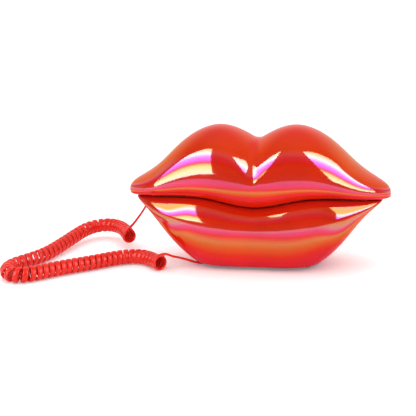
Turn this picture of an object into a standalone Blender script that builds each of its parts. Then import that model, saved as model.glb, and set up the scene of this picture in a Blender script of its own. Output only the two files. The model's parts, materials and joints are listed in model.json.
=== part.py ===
"""A telephone in the shape of a pair of lips.

The upper lip is the handset and lifts straight off the lower lip, which is the base.  A curly
cord joins the two at the left.  Frame: X along the lips, -Y towards the person who uses it,
+Z up, origin on the table under the middle.  Lengths in the constants are millimetres.
"""
import math

import bpy
import bmesh
import numpy as np
from mathutils import Vector

MM = 0.001
GAP = 0.3                       # clearance between pieces that touch

# ---- driving dimensions of the lips -------------------------------------------------------
UPPER_HALF_WIDTH = 110.0
LOWER_HALF_WIDTH = 103.5
FOOT_HEIGHT = 2.6               # underside of the base above the table
PARTING_GAP = 1.4               # dark line between the lips
WALL = 2.4
OVAL_POWER = 0.92               # below 1 squares the sections up a little
MOUTH_ROLL = 1.3                # how far each lip's oval would reach past the mouth line
MOUTH_INSET = 0.4               # share of the wall taken off that side of the oval

# Outlines are smooth curves through these points.  The first number is the station angle in
# degrees, where x = half width * sin(angle), so 0 is the middle and 90 is the corner.
UPPER_TOP = [(0, 104.8), (7, 112.4), (17, 117.2), (25, 113.9), (35, 103.6), (47, 87.3),
             (60, 76.2), (76, 68.6), (90, 62.0)]
UPPER_MIDDLE = [(0, 69.6), (17, 72.6), (30, 72.1), (50, 66.6), (72, 63.1), (90, 62.0)]
UPPER_FRONT = [(0, 42.4), (17, 42.0), (33, 37.0), (50, 28.5), (68, 16.0), (80, 7.8), (90, 0.0)]
UPPER_BACK = [(0, 39.0), (17, 42.0), (33, 38.0), (50, 29.5), (68, 16.5), (80, 8.0), (90, 0.0)]
LOWER_BOTTOM = [(0, -7.0), (22, -5.0), (29, 0.5), (39, 13.0), (45, 22.0), (52, 33.0),
                (60, 43.0), (72, 51.5), (90, 57.0)]
LOWER_MIDDLE = [(0, 33.6), (18, 34.1), (40, 40.6), (60, 49.6), (80, 55.4), (90, 57.0)]
LOWER_FRONT = [(0, 39.4), (17, 40.5), (33, 37.6), (50, 28.0), (68, 14.5), (80, 7.0), (90, 0.0)]
LOWER_BACK = [(0, 39.5), (17, 41.0), (33, 37.0), (50, 27.0), (68, 14.0), (80, 7.0), (90, 0.0)]
# Height of the mouth line against x itself.
MOUTH_LINE = [(0, 53.4), (14, 54.9), (30, 58.5), (50, 60.9), (75, 60.0), (103.5, 57.0)]

CREASE_TOP = 6.0                # half width of the soft valley of the cupid's bow, on top
CREASE_FRONT = 34.0             # and low on the front, where it has faded out
CREASE_TURNS = (0.0, 25.0)      # section turns, in degrees, between which it sharpens
GROOVE_WIDTH = (4.0, 26.0)      # half width of the groove under the bow, low and high
GROOVE_SLOPE = 0.21             # depth of the groove over its half width
GROOVE_TURNS = (0.0, 50.0)      # section turns between which the groove widens
GROOVE_SOFTNESS = 5.0
LOWER_SOFTNESS = 20.0

STATIONS = [0, 2.5, 6, 11, 17, 23, 29, 35.5, 42, 48.5, 55, 61, 67, 73, 79, 85, 90]
CAVITY_LAST_STATION = 67
PLATE_LAST_STATION = 61
RING_POINTS = 24

# ---- flat parts inside --------------------------------------------------------------------
FACE_FLAT_Z = 60.0              # underside of the handset's face plate at the keypad
FACE_RECESS = 1.3               # and above the mouth line elsewhere
CRADLE_RECESS = 1.8
PLATE = 2.0

KEY_PITCH = 12.0
COLUMNS = (-KEY_PITCH, 0.0, KEY_PITCH)                  # left to right from below
KEY_CAP = (4.2, 4.6)            # half sizes
KEY_PROUD = 2.0
KEY_TRAVEL = 1.2
KEY_FLANGE = 0.8
KEY_CLEARANCE = 0.35
FUNCTION_X = 24.0

MEMBRANE = (31.0, 16.0, 1.0)    # half length, half width, thickness
MEMBRANE_Z = FACE_FLAT_Z + PLATE + 2 * GAP + KEY_FLANGE + KEY_TRAVEL
HANDSET_BOARD = (34.0, 16.5)    # half length, half width
BOARD_Z = 66.0
BOARD = 1.6
HANDSET_POSTS = [(-88.0, -4.0), (88.0, -4.0), (-42.0, 20.0), (42.0, 20.0)]
BASE_POSTS = [(-26.0, -17.0), (33.0, -15.0), (-26.0, 17.0), (33.0, 15.0)]
POST_RADIUS = 3.0
SCREW_SHANK = 1.3
SCREW_HEAD = 2.5
SCREW_HEAD_HEIGHT = 1.5
SCREW_CLEARANCE = SCREW_SHANK + 0.4
PILOT = 1.6
PILOT_DEPTH = 9.0
FACE_HOLES = (50.0, 70.0)       # heights that reach through the face plate

RECEIVER_X = 66.0
RECEIVER_RADIUS = 14.0
RECEIVER_LEVELS = [(RECEIVER_RADIUS, 66.5), (RECEIVER_RADIUS, 72.0), (9.0, 74.5)]
RECEIVER_GASKET = (64.8, 66.2, 11.0, RECEIVER_RADIUS)   # low, high, inner and outer radius
RECEIVER_HOLE = 1.3
RECEIVER_HOLE_CIRCLE = 7.0
MICROPHONE_X = -66.0
MICROPHONE_RADIUS = 4.85
MICROPHONE_HEIGHTS = (65.0, 71.0)
MICROPHONE_BOOT = (64.6, 69.6, 5.2, 7.0)
MICROPHONE_HOLE = 0.9
MICROPHONE_HOLE_PITCH = 3.0
HANDSET_BALLAST = ((-24.0, -12.0, 76.0), (24.0, 12.0, 82.0))

PLUNGER_X = 44.0
PLUNGER_RADIUS = 3.4
PLUNGER_COLLAR = (5.0, 47.4, 49.0)                      # radius, low, high
HOOK_SWITCH = (5.0, 4.5, 47.0)                          # half length, half width, top
BASE_BOARD = (51.0, 11.5)
BASE_BOARD_X = 1.0
BASE_BOARD_Z = 30.0
SPEAKER_X = -6.0
SPEAKER_LEVELS = [(14.0, 5.2), (14.0, 10.0), (9.0, 12.0), (9.0, 16.0)]
SPEAKER_SLOTS = 5
SPEAKER_SLOT = (0.6, 5.0)                               # half width, half length
SPEAKER_SLOT_PITCH = 3.0
BASE_BALLAST = ((12.0, -11.0, 5.2), (27.0, 11.0, 22.0))
BOTTOM_PLATE = (70.0, 60.0)                             # before it is trimmed to the shell
CORD_POCKET = ((-46.5, -16.8), (-34.5, 7.0))            # where the tail comes up to its jack
FEET = [(-30.0, -9.0), (41.0, -11.0), (-39.0, 15.0), (41.0, 11.0)]
FOOT_RADIUS = 4.2

PLUG = (3.8, 3.3, 14.0)         # half width, half height, length of the cord's small plugs
PLUG_PROUD = 3.0
CORD_JACK_SIZE = (4.8, 4.3)     # half width, half height
HANDSET_JACK_DEPTH = 10.0
HANDSET_PLUG_ENGAGED = 3.0
BASE_JACK_DEPTH = 12.2
HANDSET_JACK_X = -82.0
HANDSET_JACK_Z = 69.0
BASE_JACK_X = -39.0
BASE_JACK_Z = 9.6
BASE_JACK_Y = 8.0
LINE_JACK_X = 14.0
LINE_JACK_Z = 15.0
LINE_JACK_Y = 29.0
LINE_JACK_SIZE = (6.6, 5.2, 13.0)                       # half width, half height, depth
LINE_JACK_POCKET = (4.9, 3.5, 11.0)
SLIDER_X = -20.0
SLIDER_Z = 15.0
SLIDER_TRAVEL = 2.0
SLIDER_KNOB = (3.0, 1.4)        # half length, half height
SLIDER_BACK = (8.0, 3.2)        # plate inside the wall, wider than the slot
SLIDER_DEPTHS = (24.0, 26.0, 39.5, 40.0)
REAR_HOLES = (26.0, 50.0)       # depths that reach through the back wall

# ---- curly cord ---------------------------------------------------------------------------
CORD_RADIUS = 1.0
COIL_RADIUS = 6.3
COIL_ROUTE = [
    (-76.6, -37.3, 6.6), (-87.0, -26.5, 6.5), (-99.5, -19.0, 6.4), (-109.0, -20.4, 6.4),
    (-117.5, -24.8, 6.4), (-124.8, -30.8, 6.4), (-132.8, -38.0, 6.4), (-143.2, -46.6, 6.4),
    (-152.4, -54.0, 6.4), (-162.4, -63.2, 6.4), (-172.0, -72.8, 6.4), (-180.2, -79.6, 6.4),
    (-189.0, -80.6, 6.4), (-196.8, -73.8, 6.4), (-199.8, -62.4, 6.4), (-197.8, -52.4, 6.4),
    (-193.0, -43.0, 6.4), (-187.0, -31.4, 6.4), (-182.0, -18.2, 6.6), (-178.6, -4.8, 7.2),
    (-175.4, 8.4, 8.2), (-172.4, 21.8, 9.3), (-169.4, 35.4, 10.3), (-165.2, 47.0, 11.2),
    (-159.2, 54.8, 11.8), (-152.0, 58.0, 12.2), (-144.0, 56.8, 12.5), (-135.4, 50.4, 12.6),
    (-126.8, 37.8, 12.6), (-118.6, 20.5, 12.5)]
BASE_TAIL_ROUTE = [
    (-39.0, 4.7, 9.6), (-39.2, 1.0, 9.3), (-39.8, -3.0, 7.4), (-41.0, -7.2, 4.2),
    (-42.8, -10.8, 2.0), (-45.8, -13.8, 1.3), (-50.4, -16.8, 2.0), (-55.6, -19.2, 4.2),
    (-60.6, -22.2, 6.6), (-65.0, -25.8, 8.9), (-68.8, -30.0, 11.0), (-71.6, -34.0, 12.2),
    (-75.3, -38.1, 12.1)]
HANDSET_TAIL_ROUTE = [
    (-82.0, 34.0, 69.0), (-82.2, 37.6, 68.6), (-83.4, 40.6, 66.6), (-86.0, 42.0, 63.0),
    (-89.6, 41.6, 58.0), (-95.2, 40.2, 51.8), (-101.0, 38.4, 44.6), (-106.0, 36.4, 37.6),
    (-110.0, 34.0, 31.2), (-112.8, 30.4, 26.0), (-113.2, 25.8, 22.4), (-115.0, 21.8, 20.0),
    (-117.2, 19.4, 18.7)]


# ---- curves -------------------------------------------------------------------------------
def smooth_curve(points):
    """Natural cubic spline through (position, value) pairs, as a function."""
    x = np.array([p[0] for p in points], float)
    v = np.array([p[1] for p in points], float)
    n = len(x)
    h = np.diff(x)
    matrix = np.eye(n)
    right = np.zeros(n)
    for i in range(1, n - 1):
        matrix[i, i - 1:i + 2] = h[i - 1], 2 * (h[i - 1] + h[i]), h[i]
        right[i] = 3 * ((v[i + 1] - v[i]) / h[i] - (v[i] - v[i - 1]) / h[i - 1])
    c = np.linalg.solve(matrix, right)

    def value(q):
        q = min(max(q, x[0]), x[-1])
        i = min(int(np.searchsorted(x, q, side="right")) - 1, n - 2)
        t = q - x[i]
        b = (v[i + 1] - v[i]) / h[i] - h[i] * (2 * c[i] + c[i + 1]) / 3
        d = (c[i + 1] - c[i]) / (3 * h[i])
        return float(v[i] + t * (b + t * (c[i] + t * d)))
    return value


def smooth_step(low, high, value):
    t = min(max((value - low) / (high - low), 0.0), 1.0)
    return t * t * (3 - 2 * t)


def soft_distance(x, reach):
    """|x| with its point at 0 rounded off within reach."""
    lift = 0.45 * reach * max(0.0, 1 - (x / reach) ** 2) ** 2
    return math.hypot(x, lift)


def power(value, exponent):
    return math.copysign(abs(value) ** exponent, value)


upper_top, upper_middle = smooth_curve(UPPER_TOP), smooth_curve(UPPER_MIDDLE)
upper_front, upper_back = smooth_curve(UPPER_FRONT), smooth_curve(UPPER_BACK)
lower_bottom, lower_middle = smooth_curve(LOWER_BOTTOM), smooth_curve(LOWER_MIDDLE)
lower_front, lower_back = smooth_curve(LOWER_FRONT), smooth_curve(LOWER_BACK)
mouth_curve = smooth_curve(MOUTH_LINE)


def mouth(x):
    return mouth_curve(abs(x))


def station_angle(x, half_width):
    return math.degrees(math.asin(min(1.0, abs(x) / half_width)))


def groove_depth(x, turn):
    """Depth of the groove below the cupid's bow, which narrows to nothing low on the front."""
    low, high = GROOVE_WIDTH
    width = low + (high - low) * smooth_step(*map(math.radians, GROOVE_TURNS), turn)
    share = max(0.0, 1 - soft_distance(x, GROOVE_SOFTNESS) / width)
    return GROOVE_SLOPE * width * share ** 2


def upper_point(x, turn, inset=0.0):
    """Point on the upper lip's section at x; turn is 0 at the front, a quarter at the top."""
    c, s = math.cos(turn), math.sin(turn)
    if turn <= math.pi / 2:
        crease = smooth_step(*map(math.radians, CREASE_TURNS), turn)
    else:
        crease = 1.0 if turn < 1.25 * math.pi else 0.0
    reach = CREASE_FRONT + (CREASE_TOP - CREASE_FRONT) * crease
    t = station_angle(soft_distance(x, reach), UPPER_HALF_WIDTH)
    middle = upper_middle(t)
    rise = upper_top(t) - middle - inset
    fall = max(middle - mouth(x), 0) * MOUTH_ROLL * max(math.cos(math.radians(t)), 0) ** 0.25
    fall = max(fall - MOUTH_INSET * inset, 0)
    front = upper_front(t) - groove_depth(x, turn)
    depth = max((front if c > 0 else upper_back(t)) - inset, 0)
    return (x, -depth * power(c, OVAL_POWER),
            middle + (rise if s > 0 else fall) * power(s, OVAL_POWER))


def lower_point(x, turn, inset=0.0):
    """Point on the lower lip's section at x; turn is 0 at the front, a quarter at the top."""
    c, s = math.cos(turn), math.sin(turn)
    t = station_angle(soft_distance(x, LOWER_SOFTNESS), LOWER_HALF_WIDTH)
    middle = lower_middle(t)
    rise = max(max(mouth(x) - middle, 0) * MOUTH_ROLL - MOUTH_INSET * inset, 0)
    fall = middle - lower_bottom(t) - inset
    depth = (lower_front(t) if c > 0 else lower_back(t)) - inset
    return (x, -depth * power(c, OVAL_POWER),
            middle + (rise if s > 0 else fall) * power(s, OVAL_POWER))


def face_height(x):
    """Underside of the handset's face plate."""
    return max(FACE_FLAT_Z, mouth(x) + FACE_RECESS)


def cradle_height(x):
    """Top of the base's cradle."""
    return mouth(x) - CRADLE_RECESS


def face_range(x, radius=POST_RADIUS):
    """Lowest and highest underside of the face plate under a round piece at x."""
    heights = [face_height(x + step * radius) for step in (-1, 0, 1)]
    return min(heights), max(heights)


def upper_parting(x):
    return mouth(x) + PARTING_GAP / 2


def lower_parting(x):
    return mouth(x) - PARTING_GAP / 2


# ---- mesh tools ---------------------------------------------------------------------------
def add_loft(bm, rings):
    """Closed skin over rings of points in mm; a ring of one point is a pole."""
    rows = [[bm.verts.new(Vector(p) * MM) for p in ring] for ring in rings]
    for a, b in zip(rows, rows[1:]):
        n = max(len(a), len(b))
        for j in range(n):
            k = (j + 1) % n
            if len(a) == 1:
                bm.faces.new((a[0], b[j], b[k]))
            elif len(b) == 1:
                bm.faces.new((a[j], b[0], a[k]))
            else:
                bm.faces.new((a[j], b[j], b[k], a[k]))
    for row in (rows[0], rows[-1]):
        if len(row) > 1:
            bm.faces.new(row)


def add_box(bm, low, high):
    (x0, y0, z0), (x1, y1, z1) = low, high
    corners = [(x0, y0), (x1, y0), (x1, y1), (x0, y1)]
    add_loft(bm, [[(x, y, z) for x, y in corners] for z in (z0, z1)])


def circle(x, y, radius, sides=16):
    turns = [2 * math.pi * (i + 0.5) / sides for i in range(sides)]
    return [(x + radius * math.cos(a), y + radius * math.sin(a)) for a in turns]


def rounded_rectangle(x, y, half_x, half_y, radius, steps=(0, 90)):
    points = []
    for sx, sy, start in ((1, 1, 0), (-1, 1, 90), (-1, -1, 180), (1, -1, 270)):
        for step in steps:
            a = math.radians(start + step)
            points.append((x + sx * (half_x - radius) + radius * math.cos(a),
                           y + sy * (half_y - radius) + radius * math.sin(a)))
    return points


def add_stack(bm, outlines_and_heights):
    """Closed body from (outline, z) levels."""
    add_loft(bm, [[(px, py, z) for px, py in outline] for outline, z in outlines_and_heights])


def add_cylinder(bm, x, y, low, high, radius, sides=16):
    add_stack(bm, [(circle(x, y, radius, sides), z) for z in (low, high)])


def add_ring(bm, x, y, low, high, inner, outer, sides=24):
    """A washer as one closed skin."""
    profile = [(inner, low), (outer, low), (outer, high), (inner, high)]
    rows = [[bm.verts.new(Vector((px, py, z)) * MM) for px, py in circle(x, y, r, sides)]
            for r, z in profile]
    for i in range(4):
        a, b = rows[i], rows[(i + 1) % 4]
        for j in range(sides):
            k = (j + 1) % sides
            bm.faces.new((a[j], b[j], b[k], a[k]))


def material(name, colour, roughness, metallic=0.0):
    mat = bpy.data.materials.get(name)
    if mat is None:
        mat = bpy.data.materials.new(name)
        mat.use_nodes = True
        shader = mat.node_tree.nodes["Principled BSDF"]
        shader.inputs["Base Color"].default_value = (*colour, 1.0)
        shader.inputs["Roughness"].default_value = roughness
        shader.inputs["Metallic"].default_value = metallic
    return mat


def finish(name, bm, look=None, parent=None, smooth=True):
    """Turn a bmesh into a named object, its faces pointing out."""
    bmesh.ops.recalc_face_normals(bm, faces=bm.faces)
    mesh = bpy.data.meshes.new(name)
    bm.to_mesh(mesh)
    bm.free()
    if smooth:
        mesh.shade_smooth()
        mesh.set_sharp_from_angle(angle=math.radians(35))
    obj = bpy.data.objects.new(name, mesh)
    bpy.context.collection.objects.link(obj)
    if look:
        mesh.materials.append(look)
    if parent:
        obj.parent = parent
        obj.matrix_parent_inverse = parent.matrix_world.inverted()
    return obj


def cutter(name, bm):
    obj = finish(name, bm, smooth=False)
    obj.hide_render = True
    obj.display_type = "WIRE"
    return obj


def boolean(obj, tool, operation="DIFFERENCE"):
    mod = obj.modifiers.new(operation.lower() + "_" + tool.name, "BOOLEAN")
    mod.operation = operation
    mod.solver = "EXACT"
    mod.object = tool


def body_empty(name, location):
    empty = bpy.data.objects.new(name, None)
    empty.location = Vector(location) * MM
    bpy.context.collection.objects.link(empty)
    bpy.context.view_layer.update()
    return empty


# ---- looks --------------------------------------------------------------------------------
def pearl_red():
    return material("pearl_red_plastic", (0.80, 0.035, 0.012), 0.08, 0.3)


def red_plastic():
    return material("red_plastic", (0.55, 0.02, 0.015), 0.35)


def key_plastic():
    return material("key_plastic", (0.86, 0.83, 0.80), 0.3)


def cord_red():
    return material("cord_red", (0.78, 0.05, 0.02), 0.3)


def black_plastic():
    return material("black_plastic", (0.03, 0.03, 0.03), 0.4)


def clear_plastic():
    return material("clear_plastic", (0.75, 0.72, 0.68), 0.15)


def circuit_green():
    return material("circuit_green", (0.03, 0.16, 0.06), 0.45)


def steel():
    return material("steel", (0.62, 0.62, 0.63), 0.3, 1.0)


def rubber():
    return material("rubber", (0.05, 0.05, 0.05), 0.8)


# ---- lips ---------------------------------------------------------------------------------
def lip_rings(point, half_width, inset, last):
    """Rings of a lip from the left end to the right; a whole lip closes in a pole."""
    angles = [a for a in STATIONS if a <= last]
    angles = [-a for a in reversed(angles) if a] + angles
    rings = []
    for angle in angles:
        x = half_width * math.sin(math.radians(angle))
        if abs(angle) == 90:
            rings.append([point(x, 0.0)])
        else:
            rings.append([point(x, 2 * math.pi * j / RING_POINTS, inset)
                          for j in range(RING_POINTS)])
    return rings


def add_wave_slab(bm, low, high, half_width=125.0, half_depth=60.0, steps=40):
    """Slab along Y between two heights that follow x."""
    xs = [half_width * (2 * i / steps - 1) for i in range(steps + 1)]
    outline = [(x, low(x)) for x in xs] + [(x, high(x)) for x in reversed(xs)]
    add_loft(bm, [[(x, y, z) for x, z in outline] for y in (-half_depth, half_depth)])


def lip_cutter(name, point, half_width, inset=WALL, last=CAVITY_LAST_STATION):
    bm = bmesh.new()
    add_loft(bm, lip_rings(point, half_width, inset, last))
    return cutter(name, bm)


def plate_outline(name, point, half_width):
    """What a flat piece is trimmed to, so that it fits inside the shell."""
    return lip_cutter(name, point, half_width, WALL + GAP, PLATE_LAST_STATION)


def make_handset_shell(body):
    bm = bmesh.new()
    add_loft(bm, lip_rings(upper_point, UPPER_HALF_WIDTH, 0.0, 90))
    shell = finish("handset_shell", bm, pearl_red(), body)

    cavity = lip_cutter("handset_cavity", upper_point, UPPER_HALF_WIDTH)
    posts = bmesh.new()
    for x, y in HANDSET_POSTS:
        add_cylinder(posts, x, y, face_range(x)[1] + PLATE + GAP, 125.0, POST_RADIUS)
    boolean(cavity, cutter("handset_post_tool", posts))
    boolean(shell, cavity)

    below = bmesh.new()
    add_wave_slab(below, lambda x: -10.0, upper_parting)
    boolean(shell, cutter("handset_parting_tool", below))

    holes = bmesh.new()
    for x, y in HANDSET_POSTS:
        low = face_height(x) + PLATE - 1.0
        add_cylinder(holes, x, y, low, low + PILOT_DEPTH, PILOT, 12)
    half, high = PLUG[0] + 1.0, PLUG[1] + 1.0
    add_box(holes, (HANDSET_JACK_X - half, 14.0, HANDSET_JACK_Z - high),
            (HANDSET_JACK_X + half, 50.0, HANDSET_JACK_Z + high))
    boolean(shell, cutter("handset_hole_tool", holes))


def make_base_shell():
    bm = bmesh.new()
    add_loft(bm, lip_rings(lower_point, LOWER_HALF_WIDTH, 0.0, 90))
    shell = finish("base_shell", bm, pearl_red())
    boolean(shell, lip_cutter("base_cavity", lower_point, LOWER_HALF_WIDTH))

    ends = bmesh.new()
    add_wave_slab(ends, lower_parting, lambda x: 90.0)
    add_wave_slab(ends, lambda x: -30.0, lambda x: FOOT_HEIGHT)
    boolean(shell, cutter("base_parting_tool", ends))

    holes = bmesh.new()
    near, far = REAR_HOLES
    slot = SLIDER_KNOB[0] + SLIDER_TRAVEL + 2 * GAP
    for x, z, half, high in (
            (LINE_JACK_X, LINE_JACK_Z, LINE_JACK_POCKET[0] + 0.7, LINE_JACK_POCKET[1] + 0.7),
            (SLIDER_X, SLIDER_Z, slot, SLIDER_KNOB[1] + 2 * GAP)):
        add_box(holes, (x - half, near, z - high), (x + half, far, z + high))
    boolean(shell, cutter("base_hole_tool", holes))


# ---- handset ------------------------------------------------------------------------------
def key_places():
    """Name and centre of each key: the function row is nearest the earpiece."""
    rows = [("1", "2", "3"), ("4", "5", "6"), ("7", "8", "9"), ("star", "0", "hash")]
    places = [("key_" + label, FUNCTION_X, y)
              for label, y in zip(("mute", "flash", "redial"), COLUMNS)]
    for i, row in enumerate(rows):
        x = FUNCTION_X - KEY_PITCH * (i + 1)
        places += [("key_" + label, x, y)
                   for label, y in zip(row, COLUMNS)]
    return places


def make_face_plate(body):
    bm = bmesh.new()
    add_wave_slab(bm, face_height, lambda x: face_height(x) + PLATE)
    plate = finish("handset_face_plate", bm, red_plastic(), body)
    boolean(plate, plate_outline("face_plate_outline", upper_point, UPPER_HALF_WIDTH),
            "INTERSECT")

    holes = bmesh.new()
    for _, x, y in key_places():
        half_x, half_y = KEY_CAP[0] + KEY_CLEARANCE, KEY_CAP[1] + KEY_CLEARANCE
        outline = rounded_rectangle(x, y, half_x, half_y, 1.6)
        add_stack(holes, [(outline, z) for z in FACE_HOLES])
    for x, y in HANDSET_POSTS:
        add_cylinder(holes, x, y, *FACE_HOLES, SCREW_CLEARANCE, 12)
    add_cylinder(holes, RECEIVER_X, 0, *FACE_HOLES, RECEIVER_HOLE, 8)
    for i in range(6):
        a = 2 * math.pi * i / 6
        add_cylinder(holes, RECEIVER_X + RECEIVER_HOLE_CIRCLE * math.cos(a),
                     RECEIVER_HOLE_CIRCLE * math.sin(a), *FACE_HOLES, RECEIVER_HOLE, 8)
    for i in (-1, 0, 1):
        add_cylinder(holes, MICROPHONE_X, i * MICROPHONE_HOLE_PITCH, *FACE_HOLES,
                     MICROPHONE_HOLE, 8)
    boolean(plate, cutter("face_hole_tool", holes))


def make_keys():
    low = FACE_FLAT_Z - KEY_PROUD
    flange = FACE_FLAT_Z + PLATE + GAP
    for name, x, y in key_places():
        bm = bmesh.new()
        half_x, half_y = KEY_CAP
        cap = rounded_rectangle(x, y, half_x, half_y, 1.3)
        tip = rounded_rectangle(x, y, half_x - 0.5, half_y - 0.5, 1.0)
        wide = rounded_rectangle(x, y, half_x + 1.2, half_y + 1.0, 1.0)
        add_stack(bm, [(tip, low), (cap, low + 0.5), (cap, flange), (wide, flange),
                       (wide, flange + KEY_FLANGE)])
        finish(name, bm, key_plastic(), body_empty(name + "_guide", (x, y, FACE_FLAT_Z)))


def make_handset_inside(body):
    bm = bmesh.new()
    long, wide, thick = MEMBRANE
    add_box(bm, (-long, -wide, MEMBRANE_Z), (long, wide, MEMBRANE_Z + thick))
    finish("keypad_membrane", bm, rubber(), body)

    bm = bmesh.new()
    long, wide = HANDSET_BOARD
    add_box(bm, (-long, -wide, BOARD_Z), (long, wide, BOARD_Z + BOARD))
    finish("handset_circuit_board", bm, circuit_green(), body)

    bm = bmesh.new()
    add_ring(bm, RECEIVER_X, 0, *RECEIVER_GASKET)
    finish("receiver_gasket", bm, rubber(), body)
    bm = bmesh.new()
    add_stack(bm, [(circle(RECEIVER_X, 0, r, 24), z) for r, z in RECEIVER_LEVELS])
    finish("receiver_capsule", bm, black_plastic(), body)

    bm = bmesh.new()
    add_ring(bm, MICROPHONE_X, 0, *MICROPHONE_BOOT)
    finish("microphone_boot", bm, rubber(), body)
    bm = bmesh.new()
    add_cylinder(bm, MICROPHONE_X, 0, *MICROPHONE_HEIGHTS, MICROPHONE_RADIUS, 20)
    finish("microphone_capsule", bm, steel(), body)

    bm = bmesh.new()
    add_box(bm, *HANDSET_BALLAST)
    finish("handset_ballast", bm, steel(), body)

    for i, (x, y) in enumerate(HANDSET_POSTS, 1):
        make_screw(f"handset_screw_{i}", x, y, face_range(x)[0] - GAP, body)


def make_screw(name, x, y, seat, body=None):
    """A screw driven upwards; its head lies just under the height seat."""
    bm = bmesh.new()
    levels = [(SCREW_HEAD - 0.4, seat - SCREW_HEAD_HEIGHT), (SCREW_HEAD, seat - 1.0),
              (SCREW_HEAD, seat), (SCREW_SHANK, seat), (SCREW_SHANK, seat + 8.0),
              (0.5, seat + 9.0)]
    add_stack(bm, [(circle(x, y, r, 12), z) for r, z in levels])
    finish(name, bm, steel(), body)


def add_jack(bm, place, half_width, half_height, depth, pocket, outward):
    """A jack body with a pocket for a plug; outward is the sign of the open side in Y."""
    x, y, z = place
    outer = rounded_rectangle(x, z, half_width, half_height, 0.6)
    inner = rounded_rectangle(x, z, pocket[0], pocket[1], 0.3)
    levels = [(outer, y - outward * depth), (outer, y), (inner, y), (inner, y - outward * pocket[2])]
    add_loft(bm, [[(px, level, pz) for px, pz in outline] for outline, level in levels])


def make_plug(name, place, outward, body=None):
    x, y, z = place
    outline = rounded_rectangle(x, z, PLUG[0], PLUG[1], 0.4)
    neck = rounded_rectangle(x, z, PLUG[0] - 0.8, PLUG[1] - 0.8, 0.8)
    tip = y + outward * PLUG_PROUD
    levels = [(outline, tip - outward * PLUG[2]), (outline, tip - outward * 0.8), (neck, tip)]
    bm = bmesh.new()
    add_loft(bm, [[(px, level, pz) for px, pz in ring] for ring, level in levels])
    finish(name, bm, clear_plastic(), body)


# ---- base ---------------------------------------------------------------------------------
def make_cradle():
    bm = bmesh.new()
    add_wave_slab(bm, lambda x: cradle_height(x) - PLATE, cradle_height)
    cradle = finish("base_cradle", bm, red_plastic())
    boolean(cradle, plate_outline("cradle_outline", lower_point, LOWER_HALF_WIDTH),
            "INTERSECT")
    posts = bmesh.new()
    for x, y in BASE_POSTS:
        add_cylinder(posts, x, y, FOOT_HEIGHT + PLATE + GAP, cradle_height(x) - PLATE / 2,
                     POST_RADIUS)
    boolean(cradle, cutter("cradle_post_tool", posts), "UNION")
    holes = bmesh.new()
    add_cylinder(holes, PLUNGER_X, 0, 40.0, 80.0, PLUNGER_RADIUS + 0.4, 20)
    for x, y in BASE_POSTS:
        add_cylinder(holes, x, y, FOOT_HEIGHT, FOOT_HEIGHT + PLATE + PILOT_DEPTH, PILOT, 12)
    boolean(cradle, cutter("cradle_hole_tool", holes))


def make_bottom_plate():
    bm = bmesh.new()
    long, wide = BOTTOM_PLATE
    add_box(bm, (-long, -wide, FOOT_HEIGHT), (long, wide, FOOT_HEIGHT + PLATE))
    plate = finish("base_bottom_plate", bm, black_plastic())
    boolean(plate, plate_outline("bottom_plate_outline", lower_point, LOWER_HALF_WIDTH),
            "INTERSECT")
    holes = bmesh.new()
    for x, y in BASE_POSTS:
        add_cylinder(holes, x, y, 0.0, 10.0, SCREW_CLEARANCE, 12)
    half, reach = SPEAKER_SLOT
    for i in range(SPEAKER_SLOTS):
        x = SPEAKER_X + SPEAKER_SLOT_PITCH * (i - (SPEAKER_SLOTS - 1) / 2)
        add_box(holes, (x - half, -reach, 0.0), (x + half, reach, 10.0))
    (x1, y1), (x2, y2) = CORD_POCKET
    add_box(holes, (x1, y1, 0.0), (x2, y2, 10.0))
    boolean(plate, cutter("bottom_hole_tool", holes))


def make_base_inside():
    bm = bmesh.new()
    long, wide = BASE_BOARD
    add_box(bm, (BASE_BOARD_X - long, -wide, BASE_BOARD_Z),
            (BASE_BOARD_X + long, wide, BASE_BOARD_Z + BOARD))
    finish("base_circuit_board", bm, circuit_green())

    bm = bmesh.new()
    add_stack(bm, [(circle(SPEAKER_X, 0, r, 24), z) for r, z in SPEAKER_LEVELS])
    finish("ringer_speaker", bm, black_plastic())

    bm = bmesh.new()
    add_box(bm, *BASE_BALLAST)
    finish("base_ballast", bm, steel())

    bm = bmesh.new()
    long, wide, top = HOOK_SWITCH
    add_box(bm, (PLUNGER_X - long, -wide, BASE_BOARD_Z + BOARD + GAP),
            (PLUNGER_X + long, wide, top))
    finish("hook_switch", bm, black_plastic())

    bm = bmesh.new()
    radius, low, high = PLUNGER_COLLAR
    levels = [(radius, low), (radius, high), (PLUNGER_RADIUS, high),
              (PLUNGER_RADIUS, face_height(PLUNGER_X) - 0.8),
              (PLUNGER_RADIUS - 0.8, face_height(PLUNGER_X) - GAP)]
    add_stack(bm, [(circle(PLUNGER_X, 0, r, 20), z) for r, z in levels])
    finish("hook_plunger", bm, key_plastic(), body_empty("plunger_guide", (PLUNGER_X, 0, 50.0)))

    for i, (x, y) in enumerate(BASE_POSTS, 1):
        make_screw(f"base_screw_{i}", x, y, FOOT_HEIGHT - GAP)
    for i, (x, y) in enumerate(FEET, 1):
        bm = bmesh.new()
        levels = [(FOOT_RADIUS - 0.4, 0.0), (FOOT_RADIUS, 0.5), (FOOT_RADIUS, FOOT_HEIGHT - GAP)]
        add_stack(bm, [(circle(x, y, r, 20), z) for r, z in levels])
        finish(f"foot_{i}", bm, rubber())


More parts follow.
